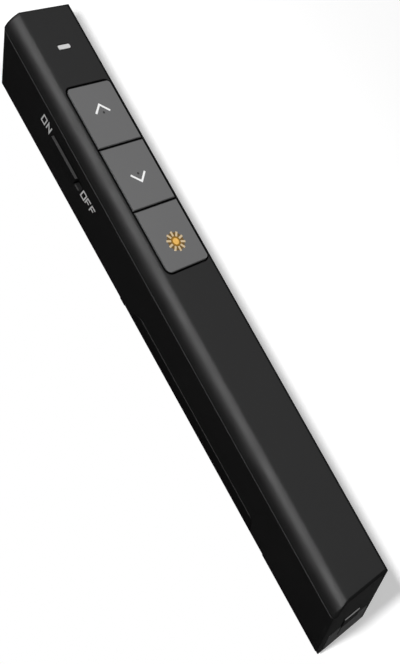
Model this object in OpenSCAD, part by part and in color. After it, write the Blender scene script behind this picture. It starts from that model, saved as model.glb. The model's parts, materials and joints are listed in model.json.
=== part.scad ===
// Wireless presenter with a laser pointer: two shells, three keys, a power slide,
// a cell under a pull-off cover, a laser module in the nose and a radio receiver in the tail.
// Millimetres. +Z up, +Y to the nose, origin on the underside in the middle of the length.

/* [Body] */
// Length from the foot of the tail face to the brow of the nose face, before they are rounded
body_len = 150.8; // [139:0.1:166]
// Width across the upright sides
body_w = 17.2; // [15.6:0.1:19]
// Height of the shells
body_h = 17.8; // [16.4:0.1:20]
// Lean of a shoulder, from the upright side in to the flat top
shoulder_in = 2.2; // [1.9:0.05:2.6]
// Drop from the flat top to the seam between the shells
shoulder_drop = 4.85; // [4.5:0.05:5.2]
// Round between the flat top and a shoulder
top_round = 0.8; // [0.3:0.1:1.2]
// Round along the two lower edges
bottom_round = 2.8; // [1:0.1:3]
// Lean of the nose face under the seam, from upright; above the seam it is upright
nose_slant = 30; // [22:0.5:34]
// Lean of the tail face from upright, foot backward
tail_slant = 29.5; // [20:0.5:31]
// Round at the foot and heel of the tail and at the chin of the nose
end_round = 0.5; // [0.3:0.1:1.3]
// Round where an end face meets a side, and around the brow of the nose
corner_round = 1.1; // [0.4:0.1:1.3]

/* [Shells] */
// Wall of both shells
wall_t = 1.4; // [1.2:0.05:1.6]
// Thickness of the end walls along the length
end_t = 1.6; // [1.2:0.1:2]
// Open line between the two shells
seam_gap = 0.1; // [0.05:0.05:0.2]
// Bevel on the lower shell's rim at the seam
seam_bevel = 0.3; // [0.1:0.05:0.5]
// Thickness of the tongue that locates the cover
tongue_t = 0.7; // [0.5:0.1:0.9]
// Height of the tongue above the seam
tongue_h = 0.8; // [0.4:0.1:1]
// Thickness of inner walls and ribs
rib_t = 0.8; // [0.6:0.1:1]
// Clearance between pieces that are fixed together
fit_gap = 0.1; // [0.05:0.05:0.15]
// Clearance between pieces that slide
run_gap = 0.15; // [0.1:0.05:0.25]

/* [Keys] */
// From the brow of the nose to the front of the key window
keys_setback = 19.75; // [17.5:0.05:21.5]
// Gap around and between the keys
key_gap = 0.4; // [0.3:0.05:0.6]
// Flat left beside the key window
window_rim = 0.1; // [0.05:0.05:0.4]
// Round at the outer corners of the key block
key_corner = 1.4; // [0.6:0.1:2]
// Height of the keys above the flat top
key_proud = 0.2; // [0:0.05:0.4]
// Bevel on the top edges of a key
key_bevel = 0.2; // [0.1:0.05:0.3]
// Travel of a key
key_travel = 0.5; // [0.3:0.05:0.6]
// Reach of a key's flange under the cover
flange_out = 0.6; // [0.4:0.05:0.7]
// Thickness of a key's flange
flange_t = 0.8; // [0.6:0.05:1]
// Thickness of a key's top
key_top_t = 1.6; // [1.2:0.1:2]
// Side of a push switch
tact_w = 4.5; // [4:0.1:6]
// Height of a push switch
tact_h = 2.6; // [2:0.1:3]
// Reach of the plunger above its switch
plunger_up = 0.95; // [0.8:0.05:1.2]
// Diameter of the plunger
plunger_d = 2.4; // [2:0.1:3]

/* [Status light] */
// From the brow of the nose to the middle of the light
led_setback = 10.3; // [8.5:0.1:12.5]
// Offset of the light from the middle line
led_x = -0.4; // [-1:0.1:1]
// Length of the light across the body
led_len = 3.1; // [2.5:0.1:4.5]
// Width of the light along the body
led_w = 1; // [0.8:0.1:1.6]

/* [Power slide] */
// From the brow of the nose to the middle of the knob when it is on
knob_setback = 31.3; // [29.5:0.1:33.5]
// Drop from the seam to the middle of the knob
knob_drop = 4.2; // [4:0.05:4.5]
// Length of the knob
knob_len = 11.4; // [9:0.1:13]
// Height of the knob
knob_h = 2.1; // [1.6:0.1:2.6]
// Reach of the knob out of the side
knob_out = 0.7; // [0.4:0.05:1]
// Round at the knob's ends
knob_round = 0.7; // [0.3:0.05:0.8]
// Travel of the knob from on to off
slide_travel = 2; // [1.5:0.1:2.5]

/* [Circuit board] */
// Thickness of the board
board_t = 1; // [0.8:0.1:1.2]

/* [Laser module] */
// Outer diameter of the barrel
barrel_d = 6; // [5:0.1:6.4]
// Length of the barrel
barrel_len = 13; // [11:0.5:15]
// Wall of the barrel
barrel_wall = 0.7; // [0.5:0.05:0.9]
// Diameter of the clear window
window_d = 5; // [4:0.1:5.6]
// Thickness of the clear window
window_t = 0.8; // [0.6:0.1:1]
// Diameter of the hole that the beam passes
aperture_d = 3.2; // [2.4:0.1:3.6]
// Wall of the collar that holds the barrel
collar_wall = 0.8; // [0.6:0.1:1]

/* [Cell and cover] */
// Diameter of the cell
cell_d = 10.5; // [10.3:0.1:10.6]
// Length of the cell with its positive tip
cell_len = 44.5; // [43.5:0.1:44.7]
// Room around the cell
cell_clear = 0.3; // [0.2:0.05:0.4]
// Length of the pressed spring
spring_len = 3.2; // [2.9:0.1:3.6]
// Wire of the spring
spring_wire = 0.6; // [0.5:0.05:0.7]
// Thickness of the contact plates
plate_t = 0.3; // [0.2:0.05:0.4]
// Height of the cover's flaps up the sides
flap_h = 4.9; // [4:0.1:5.4]
// Lean of the flaps' ends from upright
flap_slant = 34; // [20:1:40]
// Round at the top corners of the flaps
flap_round = 2.5; // [1:0.1:3]
// Open line around the cover
cover_gap = 0.15; // [0.1:0.05:0.25]
// Bevel on the top edge of the flaps
cover_bevel = 0.25; // [0.1:0.05:0.4]

/* [Receiver] */
// Width of the receiver's cap
cap_w = 13; // [12.6:0.1:13.4]
// Height of the receiver's cap
cap_h = 5; // [4.8:0.1:6]
// Floor left under the receiver
cap_floor = 0.85; // [0.7:0.05:1]
// Length of the cap, from the foot of the tail face
cap_len = 11.4; // [10.4:0.1:12.4]
// Reach of the cap out of the tail face
cap_proud = 0.1; // [0.05:0.05:0.3]
// Round along the cap's edges
cap_round = 0.8; // [0.4:0.1:1.2]
// Width of the lip that a fingernail pulls on
lip_w = 5.4; // [4:0.1:7]
// Height of the lip above the cap
lip_up = 2.5; // [1.5:0.1:3]
// Thickness of the lip at its top
lip_t = 2; // [1.7:0.1:2.4]
// Reach of the lip out of the cap
lip_out = 0.2; // [0.1:0.05:0.4]
// Width of the plug
plug_w = 12; // [11.9:0.05:12.1]
// Height of the plug
plug_h = 4.5; // [4.4:0.05:4.6]
// Length of the plug
plug_len = 12; // [11:0.1:12.5]
// Sheet that the plug's sleeve is folded from
sleeve_t = 0.3; // [0.2:0.05:0.4]
// Room between the receiver's pocket and the cell's bay
tail_room = 5.1; // [2:0.1:12]

/* [Hidden] */
$fn = 64;

// Body outline
half_w = body_w / 2;
y_nose = body_len / 2;
y_tail = -body_len / 2;
nose_lean = tan(nose_slant);
tail_lean = tan(tail_slant);
seam_z = body_h - shoulder_drop;
top_w = body_w - 2 * shoulder_in;
shoulder_r = (shoulder_in * shoulder_in + shoulder_drop * shoulder_drop) / (2 * shoulder_in);
arc_x = half_w - shoulder_r;
past = 3;
inner_w = body_w - 2 * wall_t;
mid_wall = half_w - wall_t / 2;

// Height of a shoulder, shrunk by inset, at a half width
function shoulder_z(x, inset) = seam_z + sqrt(pow(shoulder_r - inset, 2) - pow(x - arc_x, 2));

// Place of the two end faces at a height; the nose face bends at the seam
function tail_y(z) = y_tail + z * tail_lean;
function nose_y(z) = y_nose - max(seam_z - z, 0) * nose_lean;

// Room along the length, from the tail: receiver, cell and housing screw
boss_r = 2.1;
boss_clear = 0.4;
screw_setback = 3.2;
receiver_room = cap_len + plug_len + run_gap + rib_t;
cell_room = rib_t + spring_len + cell_len + 2 * plate_t + rib_t;
screw_room = boss_clear + boss_r + screw_setback;

// Keys fill what is left behind the nose; switches and board are stacked down from the cover
key_count = 3;
key_row = body_len - keys_setback - screw_room - cell_room - tail_room - receiver_room;
key_len = (key_row - (key_count + 1) * key_gap) / key_count;
key_w = top_w - 2 * (window_rim + key_gap);
window_w = key_w + 2 * key_gap;
window_front = y_nose - keys_setback;
window_back = window_front - key_row;
function key_y(i) = window_front - key_gap - key_len / 2 - i * (key_len + key_gap);
key_top = body_h + key_proud;
key_wall = 1;
flange_w = key_w + 2 * flange_out;
flange_top = shoulder_z(flange_w / 2 + run_gap, wall_t);
flange_low = flange_top - flange_t;
board_top = flange_low - plunger_up - tact_h;
board_low = board_top - board_t;
chip = [5, 5, 0.9];
crystal_can = [2.4, 3.2, 0.9];
capacitor = [1.6, 0.8, 0.8];
part_gap = 0.8;
board_side = 0.3;
board_end = 0.8;
board_w = inner_w - 2 * board_side;
led_y = y_nose - led_setback;
board_front = nose_y(board_low) - end_t - board_end;

// Power slide and its switch, hung under the board
knob_y = y_nose - knob_setback;
knob_z = seam_z - knob_drop;
slot_len = knob_len + slide_travel + 2 * run_gap;
slot_y = knob_y - slide_travel / 2;
shield_lap = 0.6;
shield_len = slot_len + slide_travel + 2 * shield_lap;
shield_h = knob_h + 2 * shield_lap;
shield_t = 0.6;
shield_x = half_w - wall_t - run_gap;
switch_len = 8.6;
switch_h = 3.4;
switch_d = 3.6;
switch_x = shield_x - shield_t - run_gap;
lever_len = 1.4;
lever_h = 1.2;
lever_in = 1.8;

// Laser module, under the front of the board
barrel_r = barrel_d / 2;
bore_r = barrel_r - barrel_wall;
collar_r = barrel_r + fit_gap + collar_wall;
laser_z = board_low - fit_gap - collar_r;
window_recess = 0.4;
window_web = 0.7;
window_seat = nose_y(laser_z - window_d / 2) - window_t - window_recess;
barrel_front = window_seat - window_web;
barrel_back = barrel_front - barrel_len;
collar_len = 4.5;
collar_y = barrel_front - collar_len;
saddle_y = barrel_back + barrel_len / 4;
lens_lip = 0.6;
lens_len = 1.6;
diode_base = 1;
diode_can_r = 1.5;
diode_can_h = 2.4;
pin_r = 0.3;
pin_x = 1.3;
driver_seat = 0.8;
driver_len = 9.4;
driver_t = 0.8;
driver_w = 2 * sqrt(bore_r * bore_r - driver_t * driver_t / 4) - fit_gap;
driver_front = barrel_back + driver_seat;

// Housing screw, cell and cover, behind the keys
screw_r = 1;
screw_head_r = 1.9;
screw_head_h = 1.3;
screw_tube_r = 2.7;
screw_y = window_back - screw_setback;
screw_seat = wall_t + cover_gap + screw_head_h + fit_gap;
screw_top = body_h - 2 * wall_t;
boss_drop = 4;
screw_joint = seam_z - boss_drop;
cell_r = cell_d / 2;
cell_z = wall_t + cell_clear + cell_r;
bay_half = cell_r + cell_clear;
bay_top = max(cell_z + cell_r + cell_clear, board_top + plate_t + fit_gap);
roof_half = bay_half + rib_t;
roof_z = bay_top + rib_t;
bay_front = screw_y - boss_r - boss_clear - rib_t;
cell_tip = bay_front - plate_t;
cell_base = cell_tip - cell_len;
bay_back = cell_base - spring_len - plate_t;
bay_low = wall_t + cover_gap;
pocket_front = screw_y + screw_tube_r;
cover_lap = 0.4;
cover_front = pocket_front + cover_lap;
cover_back = bay_back - rib_t - cover_lap;
board_back = pocket_front + rib_t + board_end;
strip_w = 2.4;
strip_reach = 3;
strip_x = inner_w / 2 - plate_t;
plate_half = 4.5;
plate_low = 2.5;
plate_high = 10;
tab_x = -4.2;
tab_w = 2;
grip_grooves = 3;
grip_pitch = 1.6;
grip_w = 6;
grip_depth = 0.4;

// Receiver, stowed in the tail
cap_low = cap_floor + run_gap;
cap_top = cap_low + cap_h;
lip_top = cap_top + lip_up;
lip_back = tail_y(lip_top) + lip_t;
receiver_z = cap_low + cap_h / 2;
cap_in = y_tail + cap_len;
plug_in = cap_in + plug_len;
pocket_top = cap_top + run_gap;
sleeve_top = pocket_top + rib_t;
pocket_in = plug_in + run_gap;
receiver_board_w = plug_w - 2 * sleeve_t - 2 * fit_gap;
receiver_board_t = 1.8;
receiver_board_z = receiver_z - plug_h / 2 + sleeve_t;
receiver_board_in = 4.5;
latch = 2.5;
latch_x = 2.8;
latch_setback = 4;

// Board posts, each [x, y]
post_r = 1.9;
post_screw_r = 0.8;
post_head_r = 1.5;
post_head_h = 1;
post_side = 2.6;
post_x = board_w / 2 - post_side;
post_depth = 5;
ledge_x = board_w / 2 - rib_t / 2;
ledge_len = 2;
board_posts = [for (i = [0, 1]) [post_x, key_y(i) - (key_len + key_gap) / 2]];

// Draws a front-view outline (x, z) along the length
module along_y(y0, y1) {
    translate([0, y1, 0]) rotate([90, 0, 0]) linear_extrude(y1 - y0) children();
}

// Draws a side-view outline (y, z) across the width
module along_x(x0, x1) {
    translate([x0, 0, 0]) rotate([90, 0, 90]) linear_extrude(x1 - x0) children();
}

// A box between two corners
module block(low, high) {
    translate(low) cube(high - low);
}

// A cylinder along the length
module rod(r, y0, y1, x, z) {
    translate([x, y0, z]) rotate([-90, 0, 0]) cylinder(r = r, h = y1 - y0);
}

// What a round takes off a convex corner at p, between the directions a and b
module corner_trim(p, a, b, r) {
    ua = a / norm(a);
    ub = b / norm(b);
    mid = (ua + ub) / norm(ua + ub);
    half = acos(ua * ub) / 2;
    centre = p + mid * r / sin(half);
    difference() {
        polygon([p - mid * r, p + ua * r / tan(half), centre, p + ub * r / tan(half)]);
        translate(centre) circle(r);
    }
}

// A rectangle with round corners, about its middle
module round_rect(w, h, r) {
    difference() {
        square([w, h], center = true);
        for (sx = [-1, 1], sy = [-1, 1])
            corner_trim([sx * w / 2, sy * h / 2], [-sx, 0], [0, -sy], r);
    }
}

// Front view of the body, shrunk by inset: upright sides, round shoulders, flat top
module body_section(inset) {
    intersection() {
        union() {
            for (side = [-1, 1]) translate([side * arc_x, seam_z]) circle(shoulder_r - inset);
            translate([inset - half_w, inset]) square([body_w - 2 * inset, seam_z - inset]);
        }
        translate([inset - half_w, inset]) square([body_w - 2 * inset, body_h - 2 * inset]);
    }
}

// What the round between the flat top and the right shoulder takes off
module top_edge_trim() {
    in_x = sqrt(pow(shoulder_r - top_round, 2) - pow(shoulder_drop - top_round, 2));
    centre = [arc_x + in_x, body_h - top_round];
    out = [in_x, shoulder_drop - top_round] / (shoulder_r - top_round);
    reach = 2 * top_round;
    difference() {
        polygon([centre, centre + [0, reach], centre + reach * (out + [0, 1]), centre + reach * out]);
        translate(centre) circle(top_round);
    }
}

// Front view of the body with its long edges rounded
module outer_section() {
    difference() {
        body_section(0);
        for (side = [0, 1]) mirror([side, 0]) {
            top_edge_trim();
            corner_trim([half_w, 0], [-1, 0], [0, 1], bottom_round);
        }
    }
}

// Side view of what the two leaning end faces take off
module end_cuts() {
    foot = [y_tail, 0];
    chin = [nose_y(0), 0];
    brow = [y_nose, body_h];
    heel = [tail_y(body_h), body_h];
    tail_up = [tail_lean, 1];
    nose_up = [nose_lean, 1];
    polygon([foot - past * tail_up, heel + past * tail_up,
             [y_tail - 2 * past, body_h + past], [y_tail - 2 * past, -past]]);
    polygon([chin - past * nose_up, [y_nose + 2 * past, -past],
             [y_nose + 2 * past, body_h + past], [y_nose, body_h + past], [y_nose, seam_z]]);
    corner_trim(foot, [1, 0], tail_up, end_round);
    corner_trim(chin, [-1, 0], nose_up, end_round);
    corner_trim(brow, [-1, 0], [0, -1], corner_round);
    corner_trim(heel, [1, 0], -tail_up, end_round);
}

// What a round takes off the two side corners of an end face that leans by slant from (y, z)
module face_corners(y, z, slant, inward) {
    reach = body_h + 2 * past;
    for (side = [-1, 1])
        translate([0, y, z]) rotate([-slant, 0, 0]) translate([0, 0, -past])
            linear_extrude(reach / cos(slant))
                corner_trim([side * half_w, 0], [-side, 0], [0, inward], corner_round);
}

// What a round takes off the edge between the nose's upright brow and the right shoulder
module brow_corner() {
    translate([arc_x, y_nose, seam_z]) intersection() {
        rotate([-90, 0, 0]) rotate_extrude() corner_trim([shoulder_r, 0], [-1, 0], [0, -1], corner_round);
        block([0, -body_h, 0], [body_w, body_h, body_h]);
    }
}

// Rounds the corners of both ends
module corner_cuts() {
    face_corners(y_tail, 0, tail_slant, 1);
    face_corners(nose_y(0), 0, nose_slant, -1);
    face_corners(y_nose, seam_z, 0, -1);
    for (side = [0, 1]) mirror([side, 0, 0]) brow_corner();
}

// The whole body, solid
module outer_body() {
    difference() {
        along_y(y_tail - past, y_nose + past) outer_section();
        along_x(-half_w - past, half_w + past) end_cuts();
        corner_cuts();
    }
}

// Side view between the end faces, drawn in from them by inset
module between_ends(inset) {
    polygon([
        [tail_y(-past) + inset, -past], [nose_y(-past) - inset, -past], [y_nose - inset, seam_z],
        [y_nose - inset, body_h + past], [tail_y(body_h + past) + inset, body_h + past]
    ]);
}

// The space inside the shells
module cavity() {
    intersection() {
        along_y(y_tail - past, y_nose + past) body_section(wall_t);
        along_x(-half_w, half_w) between_ends(end_t);
    }
}

// Front view of what a bevel takes off the upper right edge at (x, z)
module edge_bevel(x, z, bevel) {
    polygon([[x - bevel - past, z + past], [x + past, z - bevel - past], [x + past, z + past]]);
}

module upper_cover() {
    boss_low = screw_joint + fit_gap;
    boss_top = body_h - wall_t / 2;
    color("#313131") difference() {
        union() {
            difference() {
                outer_body();
                along_y(y_tail - past, y_nose + past) body_section(wall_t);
                block([-body_w, y_tail - past, -past], [body_w, y_nose + past, seam_z + seam_gap]);
            }
            translate([0, screw_y, boss_low]) cylinder(r = boss_r, h = boss_top - boss_low);
            for (y = [bay_back, (bay_back + bay_front) / 2])
                intersection() {
                    along_y(y, y + rib_t) body_section(wall_t / 2);
                    block([-half_w, y, body_h - wall_t - rib_t], [half_w, y + rib_t, body_h]);
                }
        }
        translate([0, window_front - key_row / 2, seam_z]) linear_extrude(body_h)
            round_rect(window_w, key_row, key_corner + key_gap);
        translate([led_x, led_y, seam_z]) linear_extrude(body_h)
            round_rect(led_len + 2 * fit_gap, led_w + 2 * fit_gap, led_w / 3);
        translate([0, screw_y, 0]) cylinder(r = screw_r + fit_gap / 2, h = screw_top + fit_gap);
    }
}

// Side view of the cover's flap, grown by a gap
module flap_profile(gap) {
    lean = tan(flap_slant);
    high = flap_h + gap;
    back = cover_back - gap;
    front = cover_front + gap;
    difference() {
        polygon([
            [back - past * lean, -past], [front + past * lean, -past],
            [front - high * lean, high], [back + high * lean, high]
        ]);
        corner_trim([front - high * lean, high], [-1, 0], [lean, -1], flap_round);
        corner_trim([back + high * lean, high], [1, 0], [-lean, -1], flap_round);
    }
}

// The lower shell's walls, with the opening for the cover
module lower_tub() {
    difference() {
        outer_body();
        cavity();
        block([-body_w, y_tail - past, seam_z], [body_w, y_nose + past, body_h + past]);
        for (side = [0, 1]) mirror([side, 0, 0])
            along_y(y_tail - past, y_nose + past) edge_bevel(half_w, seam_z, seam_bevel);
        difference() {
            along_x(-body_w, body_w) flap_profile(cover_gap);
            along_y(cover_back - past, cover_front + past) body_section(wall_t);
        }
    }
}

// End walls that rise inside the cover's open ends
module end_walls() {
    intersection() {
        along_y(y_tail - past, y_nose + past) body_section(wall_t + fit_gap);
        difference() {
            along_x(-half_w, half_w) between_ends(0);
            along_x(-body_w, body_w) between_ends(end_t);
        }
        block([-body_w, y_tail - past, seam_z - rib_t], [body_w, y_nose + past, body_h]);
    }
}

// Tongues along the two sides, inside the cover's wall
module tongues() {
    out_x = inner_w / 2 - fit_gap;
    in_x = out_x - tongue_t;
    root = seam_z - 2 * tongue_t;
    intersection() {
        for (side = [0, 1]) mirror([side, 0, 0]) {
            block([in_x, y_tail, root], [mid_wall, y_nose, seam_z - seam_bevel]);
            block([in_x, y_tail, root], [out_x - fit_gap, y_nose, seam_z + tongue_h]);
        }
        along_x(-half_w, half_w) between_ends(end_t / 2);
    }
}

// A wall across the housing, clear of the cover's flaps and of the upper cover
module cross_wall(y, top) {
    half_low = inner_w / 2 - cover_gap;
    rim = min(top, seam_z - seam_bevel);
    block([-half_low, y, bay_low], [half_low, y + rib_t, rim]);
    block([-mid_wall, y, flap_h + 2 * cover_gap], [mid_wall, y + rib_t, rim]);
    block([-roof_half, y, bay_low], [roof_half, y + rib_t, top]);
}

// Half-round rib that holds the cell from above
module saddle(y) {
    difference() {
        cross_wall(y, roof_z);
        rod(bay_half, y - past, y + rib_t + past, 0, cell_z);
        block([-body_w, y - past, -past], [body_w, y + rib_t + past, cell_z]);
    }
}

// Walls and roof of the cell's bay, the screw's pocket and its tube
module bay_walls() {
    bay_len = bay_front - bay_back;
    cross_wall(bay_back - rib_t, roof_z);
    cross_wall(bay_front, roof_z);
    cross_wall(pocket_front, board_low - rib_t);
    for (share = [0.3, 0.7]) saddle(bay_back + share * bay_len);
    block([-roof_half, bay_back - rib_t, bay_top], [roof_half, bay_front + rib_t, roof_z]);
    translate([0, screw_y, bay_low]) cylinder(r = screw_tube_r, h = screw_joint - bay_low);
}

// What carries the board, the laser and the receiver
module housing_seats() {
    foot = wall_t / 2;
    for (p = board_posts) translate([p.x, p.y, foot]) cylinder(r = post_r, h = board_low - foot);
    for (side = [0, 1]) mirror([side, 0, 0])
        block([ledge_x, board_back, foot], [mid_wall, board_back + ledge_len, board_low]);
    intersection() {
        rod(collar_r, collar_y, y_nose, 0, laser_z);
        along_x(-half_w, half_w) between_ends(end_t / 2);
    }
    difference() {
        block([-collar_r, saddle_y, foot], [collar_r, saddle_y + rib_t, laser_z]);
        rod(barrel_r + fit_gap, barrel_back, barrel_front, 0, laser_z);
    }
    difference() {
        block([-collar_r, collar_y, foot], [collar_r, collar_y + rib_t, laser_z]);
        rod(barrel_r + fit_gap, barrel_back, barrel_front, 0, laser_z);
    }
    intersection() {
        block([-mid_wall, y_tail, foot], [mid_wall, pocket_in + rib_t, sleeve_top]);
        along_x(-half_w, half_w) between_ends(end_t / 2);
    }
}

// Holes through the lower shell
module housing_holes() {
    along_y(y_tail - past, cap_in + run_gap) translate([0, receiver_z])
        round_rect(cap_w + 2 * run_gap, cap_h + 2 * run_gap, cap_round + run_gap);
    block([-lip_w / 2 - run_gap, y_tail - past, receiver_z],
          [lip_w / 2 + run_gap, lip_back + run_gap, lip_top + run_gap]);
    block([-plug_w / 2 - run_gap, y_tail, receiver_z - plug_h / 2 - run_gap],
          [plug_w / 2 + run_gap, pocket_in, receiver_z + plug_h / 2 + run_gap]);
    rod(barrel_r + fit_gap / 2, barrel_back - fit_gap, barrel_front, 0, laser_z);
    rod(aperture_d / 2, barrel_front - past, y_nose, 0, laser_z);
    rod(window_d / 2 + fit_gap / 2, window_seat, y_nose + past, 0, laser_z);
    translate([-half_w - past, slot_y, knob_z]) rotate([90, 0, 90])
        linear_extrude(past + wall_t + past)
            round_rect(slot_len, knob_h + 2 * run_gap, knob_round + run_gap);
    translate([0, screw_y, 0]) cylinder(r = screw_r + fit_gap, h = body_h);
    translate([0, screw_y, 0]) cylinder(r = screw_head_r + run_gap, h = screw_seat);
    for (p = board_posts)
        translate([p.x, p.y, board_low - post_depth])
            cylinder(r = post_screw_r + fit_gap / 2, h = post_depth + past);
    block([strip_x - fit_gap, bay_back, board_low - strip_w - fit_gap],
          [inner_w / 2 + fit_gap, board_back + strip_reach + fit_gap, board_low + fit_gap]);
    block([tab_x - tab_w / 2 - fit_gap, bay_front - past, board_top - fit_gap],
          [tab_x + tab_w / 2 + fit_gap, pocket_front + past, board_top + plate_t + fit_gap]);
}

module lower_housing() {
    color("#1b1b1b") difference() {
        union() {
            lower_tub();
            end_walls();
            tongues();
            bay_walls();
            housing_seats();
        }
        housing_holes();
    }
}

module battery_cover() {
    rib_out = inner_w / 2 - run_gap;
    rib_in = rib_out - rib_t;
    grip_y = cover_front - flap_h;
    color("#1b1b1b") difference() {
        union() {
            intersection() {
                difference() {
                    along_y(cover_back - past, cover_front + past) outer_section();
                    along_y(cover_back - 2 * past, cover_front + 2 * past) body_section(wall_t);
                }
                along_x(-body_w, body_w) flap_profile(0);
            }
            for (side = [0, 1]) mirror([side, 0, 0])
                block([rib_in, bay_back + flap_h, wall_t / 2], [rib_out, bay_front - flap_h, flap_h + rib_t]);
        }
        for (side = [0, 1]) mirror([side, 0, 0])
            along_y(cover_back - past, cover_front + past) edge_bevel(half_w, flap_h, cover_bevel);
        for (i = [1:grip_grooves]) translate([0, grip_y - grip_pitch * i, 0])
            block([-grip_w / 2, 0, -past], [grip_w / 2, grip_pitch / 2, grip_depth]);
    }
}

// Plan of one key, with round outer corners at the ends of the row
module key_plan(i) {
    corner = [key_w, key_len] / 2;
    translate([0, key_y(i)]) difference() {
        square([key_w, key_len], center = true);
        for (side = [0, 1]) mirror([side, 0]) {
            if (i == 0) corner_trim(corner, [-1, 0], [0, -1], key_corner);
            if (i == key_count - 1) mirror([0, 1]) corner_trim(corner, [-1, 0], [0, -1], key_corner);
        }
    }
}

// Outline of a key's side with its top edges bevelled
module key_side(w) {
    polygon([[-w / 2, 0], [w / 2, 0], [w / 2, key_top - key_bevel], [w / 2 - key_bevel, key_top],
             [key_bevel - w / 2, key_top], [-w / 2, key_top - key_bevel]]);
}

// A key cap: a hollow top, a flange at its foot and a post over the plunger
module key(i) {
    y = key_y(i);
    intersection() {
        difference() {
            union() {
                translate([0, 0, flange_low]) linear_extrude(key_top) key_plan(i);
                block([-flange_w / 2, y - key_len / 2, flange_low],
                      [flange_w / 2, y + key_len / 2, flange_top]);
            }
            difference() {
                block([key_wall - key_w / 2, y - key_len / 2 + key_wall, flange_low - past],
                      [key_w / 2 - key_wall, y + key_len / 2 - key_wall, key_top - key_top_t]);
                translate([0, y, flange_low]) cylinder(d = plunger_d + key_wall, h = key_top);
            }
        }
        union() {
            along_y(y - key_len, y + key_len) key_side(key_w);
            block([-body_w, y - key_len, 0], [body_w, y + key_len, flange_top]);
        }
        translate([0, y, 0]) along_x(-body_w, body_w) key_side(key_len);
    }
}

// A push switch's plunger, under its key's post
module plunger(i) {
    translate([0, key_y(i), board_top + tact_h / 2]) cylinder(d = plunger_d, h = tact_h / 2 + plunger_up);
}

module page_up_key() {
    color("#6d6d6d") key(0);
}

module page_down_key() {
    color("#6d6d6d") key(1);
}

module laser_key() {
    color("#6d6d6d") key(2);
}

module page_up_plunger() {
    color("#202020") plunger(0);
}

module page_down_plunger() {
    color("#202020") plunger(1);
}

module laser_plunger() {
    color("#202020") plunger(2);
}

module push_switches() {
    well = board_top + tact_h / 2 - key_travel - run_gap;
    half = tact_w / 2;
    color("silver") for (i = [0:key_count - 1]) translate([0, key_y(i), 0]) difference() {
        block([-half, -half, board_top], [half, half, board_top + tact_h]);
        translate([0, 0, well]) cylinder(d = plunger_d + 2 * run_gap, h = tact_h);
    }
}

module main_board() {
    notch_x = board_w / 2 - shield_t - 2 * run_gap;
    color("#14502c") difference() {
        block([-board_w / 2, board_back, board_low], [board_w / 2, board_front, board_top]);
        block([-body_w, knob_y - shield_len / 2 - slide_travel - run_gap, 0],
              [-notch_x, knob_y + shield_len / 2 + run_gap, body_h]);
        for (p = board_posts) translate([p.x, p.y, 0]) cylinder(r = post_screw_r + fit_gap, h = body_h);
    }
}

// A small component with its middle at p, soldered under the board
module under_board(p, size) {
    translate([p.x - size.x / 2, p.y - size.y / 2, board_low - size.z]) cube(size);
}

module radio_chip() {
    color("#181818") under_board([0, key_y(2)], chip);
}

module crystal() {
    color("silver") under_board([0, key_y(2) + (chip.y + crystal_can.y) / 2 + part_gap], crystal_can);
}

module capacitors() {
    x = -(chip.x + capacitor.x) / 2 - part_gap;
    color("tan") for (i = [-1.5:1.5]) under_board([x, key_y(2) + i * (capacitor.y + part_gap)], capacitor);
}

module status_led() {
    size = [2, 1.2, 0.8];
    color("ivory") translate([led_x - size.x / 2, led_y - size.y / 2, board_top]) cube(size);
}

// A clear rod from the light on the board up to the slot in the cover
module light_pipe() {
    low = board_top + 1;
    shelf = body_h - wall_t - rib_t;
    color("white") translate([led_x, led_y, 0]) {
        translate([0, 0, low]) linear_extrude(body_h - low) round_rect(led_len, led_w, led_w / 3);
        translate([0, 0, shelf]) linear_extrude(rib_t)
            round_rect(led_len + 2 * rib_t, led_w + 2 * rib_t, led_w / 3);
    }
}

// Metal case of the slide switch, open where its lever comes out
module slide_switch_frame() {
    slot = lever_len + slide_travel + 2 * run_gap;
    color("silver") difference() {
        block([-switch_x, slot_y - switch_len / 2, board_low - switch_h],
              [switch_d - switch_x, slot_y + switch_len / 2, board_low]);
        block([-body_w, slot_y - slot / 2, knob_z - lever_h / 2 - run_gap],
              [lever_in + run_gap - switch_x, slot_y + slot / 2, knob_z + lever_h / 2 + run_gap]);
    }
}

module slide_switch_lever() {
    color("#202020") block([-shield_x, knob_y - lever_len / 2, knob_z - lever_h / 2],
                           [lever_in - switch_x, knob_y + lever_len / 2, knob_z + lever_h / 2]);
}

// Outer knob with a shield behind the wall that keeps its slot covered
module power_knob() {
    color("#2a2a2a") difference() {
        union() {
            translate([-half_w - knob_out, knob_y, knob_z]) rotate([90, 0, 90])
                linear_extrude(half_w + knob_out - shield_x) round_rect(knob_len, knob_h, knob_round);
            block([-shield_x, knob_y - shield_len / 2, knob_z - shield_h / 2],
                  [shield_t - shield_x, knob_y + shield_len / 2, knob_z + shield_h / 2]);
        }
        translate([-shield_x, knob_y, knob_z]) rotate([90, 0, 90])
            linear_extrude(past) square([lever_len + fit_gap, lever_h + fit_gap], center = true);
    }
}

module laser_barrel() {
    color("goldenrod") difference() {
        rod(barrel_r, barrel_back, barrel_front, 0, laser_z);
        rod(bore_r, barrel_back - past, barrel_front - lens_lip, 0, laser_z);
        rod(aperture_d / 2, barrel_back - past, barrel_front + past, 0, laser_z);
    }
}

// Plano-convex lens behind the barrel's lip
module laser_lens() {
    r = bore_r - fit_gap / 2;
    crown = 0.5;
    dome_r = (r * r + crown * crown) / (2 * crown);
    flat_y = barrel_front - lens_lip;
    color("lightblue") intersection() {
        rod(r, flat_y - lens_len, flat_y, 0, laser_z);
        translate([0, flat_y - lens_len + dome_r, laser_z]) sphere(dome_r);
    }
}

module laser_diode() {
    base = driver_front;
    color("gold") {
        rod(bore_r - fit_gap / 2, base, base + diode_base, 0, laser_z);
        rod(diode_can_r, base + diode_base, base + diode_base + diode_can_h, 0, laser_z);
    }
}

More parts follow.
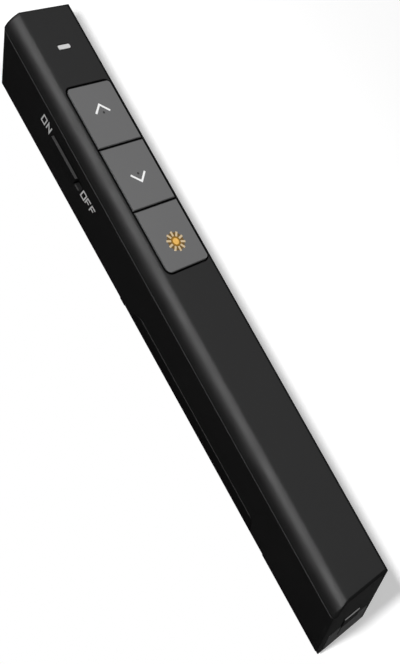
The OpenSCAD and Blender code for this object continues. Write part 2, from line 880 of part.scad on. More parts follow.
module laser_driver_board() {
    color("#14502c") block([-driver_w / 2, driver_front - driver_len, laser_z - driver_t / 2],
                           [driver_w / 2, driver_front, laser_z + driver_t / 2]);
}

module laser_pins() {
    low = laser_z + driver_t / 2;
    color("silver") for (side = [-1, 1])
        translate([side * pin_x, driver_front - driver_len + pin_x, low])
            cylinder(r = pin_r, h = board_low - low);
}

module laser_window() {
    color("lightblue") rod(window_d / 2, window_seat, window_seat + window_t, 0, laser_z);
}

// Cell: straight can, rounded shoulder, positive tip
module battery_cell() {
    tip_h = 1;
    tip_r = 1.9;
    edge = 0.6;
    can = cell_len - tip_h;
    color("darkolivegreen") translate([0, cell_base, cell_z]) rotate([-90, 0, 0]) rotate_extrude()
        polygon([[0, 0], [cell_r - edge / 2, 0], [cell_r, edge / 2], [cell_r, can - edge],
                 [cell_r - edge, can], [tip_r, can], [tip_r, cell_len - edge / 2],
                 [tip_r - edge / 2, cell_len], [0, cell_len]]);
}

// Coned coil between the negative plate and the cell: one tube along its own helix
coil_turns = 2.5;
coil_rings = 8;
coil_sides = 6;
coil_base_r = 3.7;
coil_tip_r = 2.4;
coil_y0 = bay_back + plate_t + spring_wire / 2;
coil_y1 = cell_base - spring_wire / 2;
coil_steps = coil_turns * coil_rings;
function coil_part(k) = k / coil_steps;
function coil_radius(k) = coil_base_r + (coil_tip_r - coil_base_r) * coil_part(k);
function coil_angle(k) = 360 * k / coil_rings;
function coil_point(k) = [
    coil_radius(k) * cos(coil_angle(k)),
    coil_y0 + (coil_y1 - coil_y0) * coil_part(k),
    cell_z + coil_radius(k) * sin(coil_angle(k))
];
coil_points = [for (k = [0:coil_steps], j = [0:coil_sides - 1])
    let (a = 360 * j / coil_sides, out = [cos(coil_angle(k)), 0, sin(coil_angle(k))])
    coil_point(k) + spring_wire / 2 * (cos(a) * out + sin(a) * [0, 1, 0])];
coil_faces = concat(
    [for (j = [1:coil_sides - 2]) [0, j, j + 1]],
    [for (k = [0:coil_steps - 1], j = [0:coil_sides - 1], half = [0, 1])
        let (a = k * coil_sides + j, b = k * coil_sides + (j + 1) % coil_sides)
        half == 0 ? [a, a + coil_sides, b] : [b, a + coil_sides, b + coil_sides]],
    [for (j = [1:coil_sides - 2])
        let (e = coil_steps * coil_sides) [e, e + j + 1, e + j]]
);
coil_gap = min([for (k = [0:coil_steps - 1], m = [k + 1:coil_steps])
    if (m - k > coil_rings / 2) norm(coil_point(k) - coil_point(m))]) - spring_wire;
echo(coil_gap = coil_gap);

module battery_spring() {
    color("silver") polyhedron(coil_points, coil_faces);
}

// Negative plate at the spring, with a strip along the bay to the board
module negative_contact() {
    strip_low = board_low - strip_w;
    color("silver") {
        block([-plate_half, bay_back, plate_low], [plate_half, bay_back + plate_t, plate_high]);
        block([0, bay_back, strip_low], [strip_x + plate_t, bay_back + plate_t, board_low]);
        block([strip_x, bay_back, strip_low], [strip_x + plate_t, board_back + strip_reach, board_low]);
    }
}

// Positive plate at the cell's tip, with a tab onto the board
module positive_contact() {
    color("silver") {
        block([tab_x - tab_w / 2, cell_tip, plate_low], [plate_half, bay_front, board_top + plate_t]);
        block([tab_x - tab_w / 2, cell_tip, board_top],
              [tab_x + tab_w / 2, board_back + strip_reach, board_top + plate_t]);
    }
}

// Cap that closes the tail, with a hollow for the board and a lip to pull on
module receiver_cap() {
    hollow_w = receiver_board_w + 2 * fit_gap;
    color("#3a3a3a") difference() {
        union() {
            intersection() {
                along_y(y_tail - past, cap_in) translate([0, receiver_z]) round_rect(cap_w, cap_h, cap_round);
                translate([0, -cap_proud, 0]) along_x(-half_w, half_w) between_ends(0);
            }
            intersection() {
                block([-lip_w / 2, y_tail - past, receiver_z], [lip_w / 2, lip_back, lip_top]);
                translate([0, -cap_proud - lip_out, 0]) along_x(-half_w, half_w) between_ends(0);
            }
        }
        block([-hollow_w / 2, cap_in - receiver_board_in - fit_gap, receiver_board_z - fit_gap],
              [hollow_w / 2, cap_in + past, receiver_board_z + receiver_board_t + fit_gap]);
    }
}

// Folded steel sleeve of the plug, with its two latch windows
module receiver_sleeve() {
    color("silver") difference() {
        block([-plug_w / 2, cap_in, receiver_z - plug_h / 2], [plug_w / 2, plug_in, receiver_z + plug_h / 2]);
        block([sleeve_t - plug_w / 2, cap_in - past, sleeve_t - plug_h / 2 + receiver_z],
              [plug_w / 2 - sleeve_t, plug_in + past, receiver_z + plug_h / 2 - sleeve_t]);
        for (x = latch_x * [-1, 1])
            translate([x - latch / 2, plug_in - latch_setback - latch, receiver_z])
                cube([latch, latch, plug_h]);
    }
}

// Board that runs from the cap into the plug as its tongue
module receiver_board() {
    color("#14502c") block([-receiver_board_w / 2, cap_in - receiver_board_in, receiver_board_z],
                           [receiver_board_w / 2, plug_in - sleeve_t, receiver_board_z + receiver_board_t]);
}

module receiver_contacts() {
    pitch = 2.3;
    strip = [1, 7, 0.15];
    color("gold") translate([-strip.x / 2, plug_in - strip.y - 1, receiver_board_z + receiver_board_t])
        for (i = [-1.5:1.5]) translate([i * pitch, 0, 0]) cube(strip);
}

// Pan-head screw with a cross in its head; its axis points up from the head's seat
module pan_screw(r, head_r, head_h, shank) {
    arm = 0.7 * head_r;
    slot = 0.25 * head_r;
    depth = 0.6 * head_h;
    difference() {
        union() {
            translate([0, 0, -head_h]) cylinder(r = head_r, h = head_h);
            cylinder(r = r, h = shank);
        }
        for (turn = [0, 90]) rotate(turn)
            block([-arm, -slot / 2, -head_h - past], [arm, slot / 2, depth - head_h]);
    }
}

module housing_screw() {
    shank = screw_top - screw_seat;
    color("silver") translate([0, screw_y, screw_seat]) pan_screw(screw_r, screw_head_r, screw_head_h, shank);
}

module board_screws() {
    color("silver") for (p = board_posts)
        translate([p.x, p.y, board_top]) mirror([0, 0, 1])
            pan_screw(post_screw_r, post_head_r, post_head_h, board_t + post_depth - board_end);
}

upper_cover();
lower_housing();
battery_cover();
page_up_key();
page_down_key();
laser_key();
page_up_plunger();
page_down_plunger();
laser_plunger();
push_switches();
main_board();
radio_chip();
crystal();
capacitors();
status_led();
light_pipe();
slide_switch_frame();
slide_switch_lever();
power_knob();
laser_barrel();
laser_lens();
laser_diode();
laser_driver_board();
laser_pins();
laser_window();
battery_cell();
battery_spring();
negative_contact();
positive_contact();
receiver_cap();
receiver_sleeve();
receiver_board();
receiver_contacts();
housing_screw();
board_screws();
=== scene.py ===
"""Looks of the wireless presenter: materials, printed icons, camera, floor and light."""
import json
import math

import bmesh
import bpy
from mathutils import Euler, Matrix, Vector


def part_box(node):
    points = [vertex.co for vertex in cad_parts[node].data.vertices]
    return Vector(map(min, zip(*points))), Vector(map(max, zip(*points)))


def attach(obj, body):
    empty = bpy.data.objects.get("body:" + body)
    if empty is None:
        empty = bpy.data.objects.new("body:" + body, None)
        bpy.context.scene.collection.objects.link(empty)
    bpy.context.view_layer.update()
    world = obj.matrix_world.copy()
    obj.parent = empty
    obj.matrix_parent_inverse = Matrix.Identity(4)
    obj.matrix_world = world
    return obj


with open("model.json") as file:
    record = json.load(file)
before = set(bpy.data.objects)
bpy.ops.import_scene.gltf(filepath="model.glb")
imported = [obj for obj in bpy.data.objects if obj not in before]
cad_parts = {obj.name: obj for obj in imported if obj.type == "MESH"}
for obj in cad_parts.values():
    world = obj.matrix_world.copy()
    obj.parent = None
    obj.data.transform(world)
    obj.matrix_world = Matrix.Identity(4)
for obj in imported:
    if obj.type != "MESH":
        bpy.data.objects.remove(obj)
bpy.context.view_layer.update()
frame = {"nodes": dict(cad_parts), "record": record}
nodes = frame["nodes"]
scene = bpy.context.scene
MM = 0.001

# Places on the CAD pieces that the looks follow, in millimetres
SIDE_X = -8.6                      # the left side's plane
FAR_SHADE_X = 6.0                     # in the round from the top to the right shoulder; beyond it the cover gets a painted shade
LIP_FOOT = 6.0                     # height of the foot of the receiver's lip; above it the cap gets a painted shade under the lip
LIP_TOP, LIP_FACE = 8.5, -70.9     # the lip's level top and its outer face
LIP_SPAN = (-2.65, 2.2)
KNOB_TOP, KNOB_ENDS = 9.8, (38.4, 49.8)
SLOT_END, SLOT_LOW = 36.3, 7.55    # the knob slot's open end and its lower rim
SHADE_BLEND = 0.2                   # half of the width over which a painted shade fades in at a place


# Node helpers

def new_material(name):
    """A material with an empty Principled shader, as (material, node tree, shader)."""
    material = bpy.data.materials.new(name)
    material.use_nodes = True
    tree = material.node_tree
    return material, tree, tree.nodes["Principled BSDF"]


def add(tree, kind, **settings):
    """A node of a kind, with its properties and its inputs set by name."""
    node = tree.nodes.new("ShaderNode" + kind)
    for key, value in settings.items():
        if hasattr(node, key):
            setattr(node, key, value)
        else:
            node.inputs[key].default_value = value
    return node


def noise(tree, scale, detail=3.0):
    """Noise in the object's own metres: scale is in waves per metre."""
    place = add(tree, "TexCoord")
    node = add(tree, "TexNoise", Scale=scale, Detail=detail)
    tree.links.new(place.outputs["Object"], node.inputs["Vector"])
    return node.outputs["Fac"]


def spread(tree, value, low, high):
    """Maps a noise's usual range onto low to high."""
    node = add(tree, "MapRange")
    for key, number in zip(("From Min", "From Max", "To Min", "To Max"), (0.3, 0.7, low, high)):
        node.inputs[key].default_value = number
    tree.links.new(value, node.inputs["Value"])
    return node.outputs["Result"]


def blend_colours(tree, factor, first, second):
    """A mix of two colours by a factor."""
    node = add(tree, "MixRGB")
    node.inputs["Color1"].default_value = (*first, 1)
    node.inputs["Color2"].default_value = (*second, 1)
    tree.links.new(factor, node.inputs["Fac"])
    return node.outputs["Color"]


def soft_normal(tree, radius):
    """The surface's normal, rounded over near edges by a radius in millimetres."""
    return add(tree, "Bevel", samples=6, Radius=radius * MM).outputs["Normal"]


def smooth_step(tree, value, low, high):
    """A factor that goes smoothly from 0 to 1 as a value goes from low to high."""
    node = add(tree, "MapRange", interpolation_type="SMOOTHSTEP")
    node.inputs["From Min"].default_value = low
    node.inputs["From Max"].default_value = high
    tree.links.new(value, node.inputs["Value"])
    return node.outputs["Result"]


def facing(tree, normal, axis, low, high):
    """A factor that goes from 0 to 1 as a normal turns from low to high along an axis."""
    split = add(tree, "SeparateXYZ")
    tree.links.new(normal, split.inputs["Vector"])
    return smooth_step(tree, split.outputs[axis], low, high)


def placed(tree, axis, start, end):
    """A factor that goes from 0 to 1 as the place on the object goes from start to end, in millimetres."""
    place = add(tree, "TexCoord")
    split = add(tree, "SeparateXYZ")
    tree.links.new(place.outputs["Object"], split.inputs["Vector"])
    return smooth_step(tree, split.outputs[axis], start * MM, end * MM)


def product(tree, *values):
    """Values multiplied."""
    result = values[0]
    for value in values[1:]:
        node = add(tree, "Math", operation="MULTIPLY")
        tree.links.new(result, node.inputs[0])
        tree.links.new(value, node.inputs[1])
        result = node.outputs[0]
    return result


def painted_top_light(tree, normal):
    """Painted light and shade on the cover: 1, lighter, on the top and the near shoulder; 0, a painted
    shade, at the shoulder's foot, on the far edge and at the tail.
    """
    risen = facing(tree, normal, "Z", 0.2, 0.75)
    near = placed(tree, "X", FAR_SHADE_X + SHADE_BLEND, FAR_SHADE_X - SHADE_BLEND)
    return product(tree, risen, near, facing(tree, normal, "Y", -0.4, -0.1))


def painted_edge_highlight(tree, normal):
    """1 where an edge is bevelled upwards, away from the tail: a painted highlight on these bevels."""
    return product(tree, facing(tree, normal, "Z", 0.55, 0.68), facing(tree, normal, "Y", -0.15, -0.02))


def painted_edge_and_tail_light(tree, normal):
    """1 on bevels that face up and on what faces the tail: painted light that makes them lighter."""
    node = add(tree, "Math", operation="MAXIMUM")
    tree.links.new(painted_edge_highlight(tree, normal), node.inputs[0])
    tree.links.new(facing(tree, normal, "Y", -0.6, -0.8), node.inputs[1])
    return node.outputs[0]


def tops_over_painted_gap_shade(tree, normal):
    """1 on level tops, 0 on sides and bevels, which get a painted shade for the gaps around the keys."""
    return facing(tree, normal, "Z", 0.58, 0.86)


def cap_below_painted_lip_shade(tree, normal):
    """1 on the receiver's cap up to the foot of its lip; above it the cap is darker, a painted shade under
    the lip.
    """
    return placed(tree, "Z", LIP_FOOT + SHADE_BLEND, LIP_FOOT - SHADE_BLEND)


def shades(colour, change):
    """A darker and a lighter shade of a colour."""
    return [tuple(channel * (1 + sign * change) for channel in colour) for sign in (-1, 1)]


def plastic(name, colour, rough, gloss, grain=3200, depth=0.012, tone=0.1, soften=0.1, painted_patch=None):
    """Moulded plastic: a fine spark-eroded grain, soft edges, and slight drifts of tone and roughness.

    gloss is the share of light that its matt skin mirrors, the same from every side.
    painted_patch is (colour, mask): another colour where the mask, made from the normal, is 1, which paints
    light or shade into the plastic.
    """
    material, tree, shader = new_material(name)
    normal = soft_normal(tree, soften)
    drift = noise(tree, 70)
    mixed = blend_colours(tree, drift, *shades(colour, tone))
    if painted_patch:
        painted_colour, mask = painted_patch
        both = add(tree, "MixRGB")
        tree.links.new(mask(tree, normal), both.inputs["Fac"])
        tree.links.new(mixed, both.inputs["Color1"])
        tree.links.new(blend_colours(tree, drift, *shades(painted_colour, tone)), both.inputs["Color2"])
        mixed = both.outputs["Color"]
    tree.links.new(mixed, shader.inputs["Base Color"])
    shader.inputs["Specular IOR Level"].default_value = 0
    roughness = spread(tree, noise(tree, 160), rough - 0.05, rough + 0.05)
    tree.links.new(roughness, shader.inputs["Roughness"])
    bump = add(tree, "Bump", Strength=0.5, Distance=depth * MM)
    tree.links.new(noise(tree, grain, 2.0), bump.inputs["Height"])
    tree.links.new(normal, bump.inputs["Normal"])
    tree.links.new(bump.outputs["Normal"], shader.inputs["Normal"])
    skin = add(tree, "BsdfAnisotropic", Color=(gloss, gloss, gloss, 1))
    tree.links.new(roughness, skin.inputs["Roughness"])
    tree.links.new(bump.outputs["Normal"], skin.inputs["Normal"])
    total = add(tree, "AddShader")
    tree.links.new(shader.outputs[0], total.inputs[0])
    tree.links.new(skin.outputs[0], total.inputs[1])
    tree.links.new(total.outputs[0], tree.nodes["Material Output"].inputs["Surface"])
    return material


def metal(name, colour, rough, stretch):
    """Plated or turned metal, with fine lines drawn along the stretched axis."""
    material, tree, shader = new_material(name)
    shader.inputs["Metallic"].default_value = 1.0
    place = add(tree, "TexCoord")
    scale = add(tree, "Mapping", Scale=stretch)
    lines = add(tree, "TexNoise", Scale=900, Detail=3.0)
    tree.links.new(place.outputs["Object"], scale.inputs["Vector"])
    tree.links.new(scale.outputs["Vector"], lines.inputs["Vector"])
    mixed = blend_colours(tree, lines.outputs["Fac"], *shades(colour, 0.12))
    tree.links.new(mixed, shader.inputs["Base Color"])
    roughness = spread(tree, lines.outputs["Fac"], rough - 0.08, rough + 0.08)
    tree.links.new(roughness, shader.inputs["Roughness"])
    bump = add(tree, "Bump", Strength=0.3, Distance=0.005 * MM)
    tree.links.new(lines.outputs["Fac"], bump.inputs["Height"])
    tree.links.new(bump.outputs["Normal"], shader.inputs["Normal"])
    return material


def board(name):
    """Green solder mask over copper tracks."""
    material, tree, shader = new_material(name)
    place = add(tree, "TexCoord")
    tracks = add(tree, "TexBrick", Scale=420, offset=0.5)
    tracks.inputs["Mortar Size"].default_value = 0.05
    tracks.inputs["Color1"].default_value = (0.010, 0.085, 0.030, 1)
    tracks.inputs["Color2"].default_value = (0.012, 0.100, 0.036, 1)
    tracks.inputs["Mortar"].default_value = (0.030, 0.190, 0.070, 1)
    tree.links.new(place.outputs["Object"], tracks.inputs["Vector"])
    tree.links.new(tracks.outputs["Color"], shader.inputs["Base Color"])
    tree.links.new(spread(tree, noise(tree, 300), 0.3, 0.42), shader.inputs["Roughness"])
    return material


def clear(name, tint):
    """Clear moulded plastic with slight ripples."""
    material, tree, shader = new_material(name)
    shader.inputs["Base Color"].default_value = (*tint, 1)
    shader.inputs["Transmission Weight"].default_value = 1.0
    shader.inputs["IOR"].default_value = 1.49
    tree.links.new(spread(tree, noise(tree, 400), 0.02, 0.06), shader.inputs["Roughness"])
    return material


def ink(name, colour):
    """Printed ink, a little uneven; also used for painted highlights and painted shade."""
    material, tree, shader = new_material(name)
    shader.inputs["Specular IOR Level"].default_value = 0.1
    mixed = blend_colours(tree, noise(tree, 2500), *shades(colour, 0.06))
    tree.links.new(mixed, shader.inputs["Base Color"])
    tree.links.new(spread(tree, noise(tree, 4000), 0.5, 0.65), shader.inputs["Roughness"])
    return material


def cell_wrap(name):
    """Printed wrap of the cell: a pale sleeve with a dark band at its positive end."""
    material, tree, shader = new_material(name)
    low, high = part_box("battery_cell")
    place = add(tree, "TexCoord")
    split = add(tree, "SeparateXYZ")
    tree.links.new(place.outputs["Object"], split.inputs["Vector"])
    along = add(tree, "MapRange")
    along.inputs["From Min"].default_value = low.y
    along.inputs["From Max"].default_value = high.y
    tree.links.new(split.outputs["Y"], along.inputs["Value"])
    bands = add(tree, "ValToRGB")
    bands.color_ramp.interpolation = "CONSTANT"
    steps = bands.color_ramp.elements
    steps[0].color = (0.52, 0.53, 0.54, 1)
    steps[0].position = 0.0
    steps[1].color = (0.30, 0.33, 0.36, 1)
    steps[1].position = 0.03
    for position, colour in ((0.66, (0.62, 0.63, 0.64, 1)), (0.69, (0.03, 0.045, 0.07, 1)),
                             (0.95, (0.52, 0.53, 0.54, 1))):
        step = steps.new(position)
        step.color = colour
    tree.links.new(along.outputs["Result"], bands.inputs["Fac"])
    tree.links.new(bands.outputs["Color"], shader.inputs["Base Color"])
    tree.links.new(spread(tree, noise(tree, 500), 0.25, 0.4), shader.inputs["Roughness"])
    shader.inputs["Metallic"].default_value = 0.35
    return material


# Materials of the CAD nodes

DRAWN_ALONG = (1.0, 0.05, 1.0)
TURNED = (0.05, 1.0, 1.0)


def black(level):
    """A near-black grey, a touch cool."""
    return level, level, level * 1.01


slot_materials = {
    # The cover's darker base is a painted shade at the shoulder's foot, on the far edge and at the tail; its
    # top is lighter
    "cover_plastic": plastic("cover_plastic", black(0.0031), 0.38, 0.0058, tone=0.05, soften=0.4,
                             painted_patch=(black(0.0235), painted_top_light)),
    # The housing's upward bevels and its tail face are painted lighter: a painted highlight and painted
    # light
    "housing_plastic": plastic("housing_plastic", black(0.0037), 0.5, 0.0019, tone=0.06, soften=0.2,
                               painted_patch=(black(0.0190), painted_edge_and_tail_light)),
    # The keys are grey on their tops; their near-black sides and bevels are a painted shade in the gaps
    "key_plastic": plastic("key_plastic", black(0.0060), 0.6, 0.004, tone=0.03, soften=0.05,
                           painted_patch=(black(0.141), tops_over_painted_gap_shade)),
    "knob_plastic": plastic("knob_plastic", black(0.0045), 0.5, 0.0012),
    # The receiver's cap is darker above its lip's foot: a painted shade under the lip
    "cap_plastic": plastic("cap_plastic", black(0.0180), 0.5, 0.002, painted_patch=(black(0.092), cap_below_painted_lip_shade)),
    "dark_plastic": plastic("dark_plastic", black(0.015), 0.5, 0.01),
    "light_pipe": plastic("light_pipe", (0.60, 0.60, 0.60), 0.3, 0.02, depth=0.004, tone=0.03),
    "led": plastic("led", (0.80, 0.76, 0.60), 0.2, 0.04, depth=0.002, tone=0.05),
    "clear_window": clear("clear_window", (0.93, 0.95, 0.96)),
    "circuit_board": board("circuit_board"),
    "steel": metal("steel", (0.56, 0.57, 0.58), 0.3, DRAWN_ALONG),
    "spring_metal": metal("spring_metal", (0.62, 0.61, 0.58), 0.28, DRAWN_ALONG),
    "brass": metal("brass", (0.72, 0.50, 0.18), 0.25, TURNED),
    "ceramic": plastic("ceramic", (0.40, 0.27, 0.15), 0.45, 0.02, depth=0.006),
    "cell_label": cell_wrap("cell_label"),
}
for subpart in frame["record"]["subparts"]:
    data = nodes[subpart["node"]].data
    data.materials.clear()
    data.materials.append(slot_materials[subpart["material_slot"]])
# The battery cover's upward bevels get a painted highlight
flap_plastic = plastic("flap_plastic", black(0.0036), 0.5, 0.0008, tone=0.06, soften=0.2,
                       painted_patch=(black(0.0200), painted_edge_highlight))
nodes["battery_cover"].data.materials[0] = flap_plastic


# Printed marks, painted shade and painted highlights, drawn as thin plates with true edges

def plate(name, outlines, place, thickness, material, body):
    """Thin plates from closed outlines; place turns (u, v, height) into a point in millimetres."""
    shape = bmesh.new()
    for outline in outlines:
        rings = [[shape.verts.new(Vector(place(u, v, h)) * MM) for u, v in outline] for h in (0, thickness)]
        shape.faces.new(rings[1])
        shape.faces.new(rings[0][::-1])
        count = len(outline)
        for i in range(count):
            j = (i + 1) % count
            shape.faces.new((rings[0][i], rings[0][j], rings[1][j], rings[1][i]))
    bmesh.ops.recalc_face_normals(shape, faces=shape.faces)
    mesh = bpy.data.meshes.new(name)
    shape.to_mesh(mesh)
    shape.free()
    mesh.materials.append(material)
    piece = bpy.data.objects.new(name, mesh)
    scene.collection.objects.link(piece)
    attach(piece, body)


def stroke(points, width, closed=False):
    """Outlines of a line of even width through points, with mitred corners and square ends."""
    points = [Vector(p) for p in points]
    count = len(points)
    left, right = [], []
    for i, point in enumerate(points):
        before = points[i - 1] if closed or i else None
        after = points[(i + 1) % count] if closed or i < count - 1 else None
        ways = [(b - a).normalized() for a, b in ((before, point), (point, after)) if a and b]
        sides = [Vector((-way.y, way.x)) for way in ways]
        middle = sum(sides, Vector((0, 0))).normalized()
        reach = middle * (width / 2 / middle.dot(sides[0]))
        left.append(point + reach)
        right.append(point - reach)
    if closed:
        return [[left[i], left[(i + 1) % count], right[(i + 1) % count], right[i]] for i in range(count)]
    return [left + right[::-1]]


def disc(centre, radius, sides=40):
    """Outline of a disc."""
    turn = 2 * math.pi / sides
    return [Vector(centre) + radius * Vector((math.cos(i * turn), math.sin(i * turn))) for i in range(sides)]


PRINT_T = 0.02
KEY_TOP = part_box("page_up_key")[1].z / MM


def on_key(u, v, height):
    """A place on the keys' level tops: u to the right, v to the nose."""
    return u, v, KEY_TOP + height


def on_side(u, v, height):
    """A place on the left side: u to the tail, v up."""
    return SIDE_X - height, -u, v


white = ink("white_print", (0.86, 0.86, 0.86))
orange = ink("orange_print", (0.27, 0.140, 0.020))
amber = ink("amber_print", (0.80, 0.46, 0.115))
sand = ink("sand_print", (0.60, 0.47, 0.29))
umber = ink("umber_print", (0.150, 0.088, 0.026))
grey = ink("grey_print", (0.42, 0.42, 0.42))
# A dark ink for the pips: painted shade
dark = ink("painted_pip_shade", (0.035, 0.035, 0.035))

CHEVRON_W = 0.46
for body, ends_y, tip_y, half_width in (("page_up", 48.2, 50.1, 1.9), ("page_down", 32.85, 30.9, 1.95)):
    arms = [(-half_width, ends_y), (0, tip_y), (half_width, ends_y)]
    plate(body + "_chevron", stroke(arms, CHEVRON_W), on_key, PRINT_T, white, body)
# Dark dots at the chevrons' mouths: painted shade of the small tactile pips
PIP_R, PIP_X = 0.28, 0.1
for body, pip_y in (("page_up", 48.1), ("page_down", 32.8)):
    plate(body + "_pip", [disc((PIP_X, pip_y), PIP_R)], on_key, PRINT_T, dark, body)

SUN = Vector((0, 16.0))
SUN_DISC_R, SUN_RING_R, SUN_GROUND_R = 0.74, 1.15, 2.1
RAYS, RAY_START, RAY_END, RAY_W = 10, 1.2, 2.35, 0.48
rays = []
for i in range(RAYS):
    angle = 2 * math.pi * (i + 0.5) / RAYS
    out = Vector((math.cos(angle), math.sin(angle)))
    rays += stroke([SUN + out * RAY_START, SUN + out * RAY_END], RAY_W)
for name, outlines, layer, colour in (("sun_ground", [disc(SUN, SUN_GROUND_R)], 1, umber),
                                      ("sun_rays", rays, 1.5, sand),
                                      ("sun_ring", [disc(SUN, SUN_RING_R)], 1.5, orange),
                                      ("sun_disc", [disc(SUN, SUN_DISC_R)], 2, amber)):
    plate(name, outlines, on_key, layer * PRINT_T, colour, "laser_button")

LETTER_W, LETTER_H, LETTER_STROKE = 1.35, 1.75, 0.31
letters = {
    "O": [([(0, 0), (1, 0), (1, 1), (0, 1)], True)],
    "N": [([(0, 0), (0, 1), (1, 0), (1, 1)], False)],
    "F": [([(0, 0), (0, 1), (1, 1)], False), ([(0, 0.5), (0.8, 0.5)], False)],
}


def word(name, text, start_y, low_z, pitch):
    """A word on the left side, read from the nose to the tail."""
    outlines = []
    for i, letter in enumerate(text):
        for points, closed in letters[letter]:
            line = [(-start_y + i * pitch + u * LETTER_W, low_z + v * LETTER_H) for u, v in points]
            outlines += stroke(line, LETTER_STROKE, closed)
    plate(name, outlines, on_side, PRINT_T, grey, "housing")


word("on_mark", "ON", 54.35, 8.7, 2.15)
word("off_mark", "OFF", 35.65, 7.75, 1.92)

# Painted highlights: thin pale bars where the knob's edge, the slot's rim and the receiver's lip catch the
# light
HIGHLIGHT_BAR_T = 0.04


def bar(name, low, high, level, material, body):
    """A thin level bar between two corners, on a surface that faces up: a painted highlight in the material
    given.
    """
    outline = [(low[0], low[1]), (high[0], low[1]), (high[0], high[1]), (low[0], high[1])]
    plate(name, [outline], lambda u, v, h: (u, v, level + h), HIGHLIGHT_BAR_T, material, body)


KNOB_HIGHLIGHT_OUT = (0.65, 0.02)       # the painted highlight on the knob's top edge, from far to near, out from the left side
KNOB_HIGHLIGHT_INSET = 0.3              # and in from the knob's ends
SLOT_HIGHLIGHT_IN = (0.05, 0.35)         # the painted highlight on the slot's rim, in from the left side
SLOT_HIGHLIGHT_GAP = 0.1                 # and short of the knob
# width of the painted highlight on the lip's top
LIP_HIGHLIGHT_W = 0.2

# A painted highlight along the knob's top edge
painted_knob_highlight = ink("painted_knob_highlight", (0.050, 0.050, 0.050))
bar("knob_painted_highlight", (SIDE_X - KNOB_HIGHLIGHT_OUT[0], KNOB_ENDS[0] + KNOB_HIGHLIGHT_INSET),
    (SIDE_X - KNOB_HIGHLIGHT_OUT[1], KNOB_ENDS[1] - KNOB_HIGHLIGHT_INSET), KNOB_TOP, painted_knob_highlight,
    "power_slider")
# A painted highlight on the slot's lower rim at its open end
painted_rim_highlight = ink("painted_rim_highlight", (0.055, 0.055, 0.055))
bar("slot_painted_highlight", (SIDE_X + SLOT_HIGHLIGHT_IN[0], SLOT_END),
    (SIDE_X + SLOT_HIGHLIGHT_IN[1], KNOB_ENDS[0] - SLOT_HIGHLIGHT_GAP), SLOT_LOW, painted_rim_highlight,
    "housing")
# A painted highlight on the level top of the receiver's pull lip
painted_lip_highlight = ink("painted_lip_highlight", (0.52, 0.52, 0.52))
bar("lip_painted_highlight", (LIP_SPAN[0], LIP_FACE), (LIP_SPAN[1], LIP_FACE + LIP_HIGHLIGHT_W), LIP_TOP, painted_lip_highlight,
    "receiver")


# Camera, floor and light

CAMERA_PLACE = (-0.122764, -0.020698, 0.174356)    # in metres
CAMERA_TURN = (23.8213, -29.2054, -33.8277)        # in degrees
LENS, SENSOR_HEIGHT = 51.506, 36                   # in millimetres

camera = bpy.data.objects.new("camera", bpy.data.cameras.new("camera"))
scene.collection.objects.link(camera)
camera.location = CAMERA_PLACE
camera.rotation_euler = Euler([math.radians(turn) for turn in CAMERA_TURN])
camera.data.sensor_fit = "VERTICAL"
camera.data.sensor_height = SENSOR_HEIGHT
camera.data.lens = LENS
scene.camera = camera


def seen_rays(tree):
    """1 for rays that show the surface itself: from the camera, off gloss and through clear pieces."""
    path = add(tree, "LightPath")
    seen = path.outputs["Is Camera Ray"]
    for kind in ("Is Glossy Ray", "Is Transmission Ray"):
        either = add(tree, "Math", operation="MAXIMUM")
        tree.links.new(seen, either.inputs[0])
        tree.links.new(path.outputs[kind], either.inputs[1])
        seen = either.outputs[0]
    return seen


def mix_shaders(tree, factor, first, second):
    """A mix of two shaders by a factor."""
    node = add(tree, "MixShader")
    for socket, source in zip(node.inputs, (factor, first, second)):
        tree.links.new(source, socket)
    return node.outputs[0]


FLOOR_BOUNCE = 0.25                # shade of the sheets for light that bounces off them
FAR = 4000
FLOOR_EDGE = -6.5                  # the floor's left end, hidden under the object
FADE_START, FADE_END = 115, 220    # distances between which the floor turns white
SHEET_DROP = 30


def ground(name, low, high, level, shade, glow):
    """A level sheet, in millimetres: a shade with its own glow, white far off and open from below."""
    mesh = bpy.data.meshes.new(name)
    corners = [(low[0], low[1]), (high[0], low[1]), (high[0], high[1]), (low[0], high[1])]
    mesh.from_pydata([(x * MM, y * MM, level * MM) for x, y in corners], [], [(0, 1, 2, 3)])
    material = bpy.data.materials.new(name)
    material.use_nodes = True
    tree = material.node_tree
    tree.nodes.clear()
    pale = add(tree, "BsdfDiffuse", Color=(shade, shade, shade, 1))
    light = add(tree, "Emission", Strength=glow)
    shown = add(tree, "AddShader")
    tree.links.new(pale.outputs[0], shown.inputs[0])
    tree.links.new(light.outputs[0], shown.inputs[1])
    place = add(tree, "TexCoord")
    distance = add(tree, "VectorMath", operation="LENGTH")
    tree.links.new(place.outputs["Object"], distance.inputs[0])
    far_off = smooth_step(tree, distance.outputs["Value"], FADE_START * MM, FADE_END * MM)
    white_light = add(tree, "Emission", Strength=1.0)
    pale_sheet = mix_shaders(tree, far_off, shown.outputs[0], white_light.outputs[0])
    dull = add(tree, "BsdfDiffuse", Color=(FLOOR_BOUNCE, FLOOR_BOUNCE, FLOOR_BOUNCE, 1))
    upper_side = mix_shaders(tree, seen_rays(tree), dull.outputs[0], pale_sheet)
    side = add(tree, "NewGeometry")
    open_below = add(tree, "BsdfTransparent")
    surface = mix_shaders(tree, side.outputs["Backfacing"], upper_side, open_below.outputs[0])
    result = add(tree, "OutputMaterial")
    tree.links.new(surface, result.inputs["Surface"])
    mesh.materials.append(material)
    sheet = bpy.data.objects.new(name, mesh)
    scene.collection.objects.link(sheet)
    sheet.visible_shadow = False


ground("floor", (FLOOR_EDGE, -FAR), (FAR, FAR), 0, 1, 0.14)
ground("backdrop", (-FAR, -FAR), (FAR, FAR), -SHEET_DROP, 0, 1)


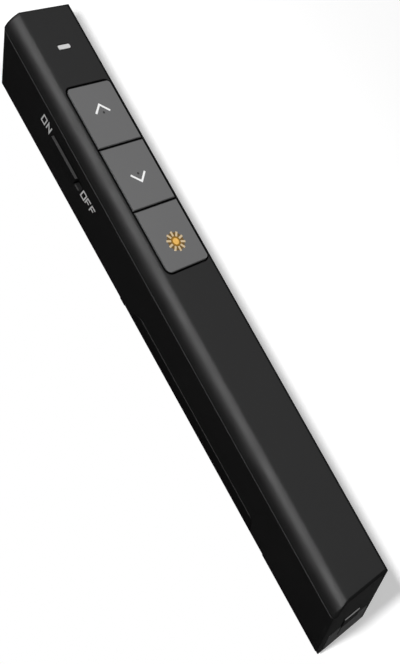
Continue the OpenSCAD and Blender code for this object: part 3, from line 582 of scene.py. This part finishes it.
def sun(name, direction, strength, spread_angle):
    """A far lamp without gloss; direction points to it, strength is the light it gives a level surface."""
    data = bpy.data.lights.new(name, "SUN")
    way = Vector(direction).normalized()
    data.energy = strength * math.pi / abs(way.z)
    data.angle = math.radians(spread_angle)
    piece = bpy.data.objects.new(name, data)
    scene.collection.objects.link(piece)
    piece.rotation_euler = way.to_track_quat("Z", "X").to_euler()
    piece.visible_glossy = False


def lamp(name, place, strength, radius):
    """A near lamp without gloss or fading; strength is the light it gives the floor at the origin."""
    data = bpy.data.lights.new(name, "POINT")
    place = Vector(place)
    data.energy = strength * 4 * math.pi ** 2 * place.length / place.z
    data.shadow_soft_size = radius * MM
    data.use_nodes = True
    tree = data.node_tree
    fade = add(tree, "LightFalloff", Strength=1.0)
    tree.links.new(fade.outputs["Constant"], tree.nodes["Emission"].inputs["Strength"])
    piece = bpy.data.objects.new(name, data)
    scene.collection.objects.link(piece)
    piece.location = place * MM
    piece.visible_camera = False
    piece.visible_glossy = False


STRIP_SIZE = (1.6, 0.18)           # in metres, along the object and across it
STRIP_REACH = 0.5


def strip(name, turn, radiance):
    """A long lamp along the object, for gloss only; turn is in degrees, from the left over the top."""
    data = bpy.data.lights.new(name, "AREA")
    data.shape = "RECTANGLE"
    data.size, data.size_y = STRIP_SIZE
    data.energy = radiance * math.pi * STRIP_SIZE[0] * STRIP_SIZE[1]
    piece = bpy.data.objects.new(name, data)
    scene.collection.objects.link(piece)
    angle = math.radians(turn)
    way = Vector((-math.cos(angle), 0, math.sin(angle)))
    piece.location = way * STRIP_REACH
    piece.rotation_euler = way.to_track_quat("Z", "Y").to_euler()
    piece.visible_camera = False
    piece.visible_diffuse = False


lamp("key", (-108, 18, 140), 0.64, 9)
sun("overhead", (0, 0, 1), 0.19, 60)
sun("underside_fill", (0.75, -0.1, -1), 1.2, 20)
strip("shoulder_strip", 19, 22)
strip("low_strip", 212, 22)

world = bpy.data.worlds.new("studio")
world.use_nodes = True
sky = world.node_tree
background = sky.nodes["Background"]
background.inputs["Color"].default_value = (1, 1, 1, 1)
SKY_LIGHT = 0.22
sky_level = add(sky, "MapRange")
sky_level.inputs["To Min"].default_value = SKY_LIGHT
sky_level.inputs["To Max"].default_value = 1
sky.links.new(seen_rays(sky), sky_level.inputs["Value"])
sky.links.new(sky_level.outputs["Result"], background.inputs["Strength"])
scene.world = world
scene.view_settings.view_transform = "Standard"
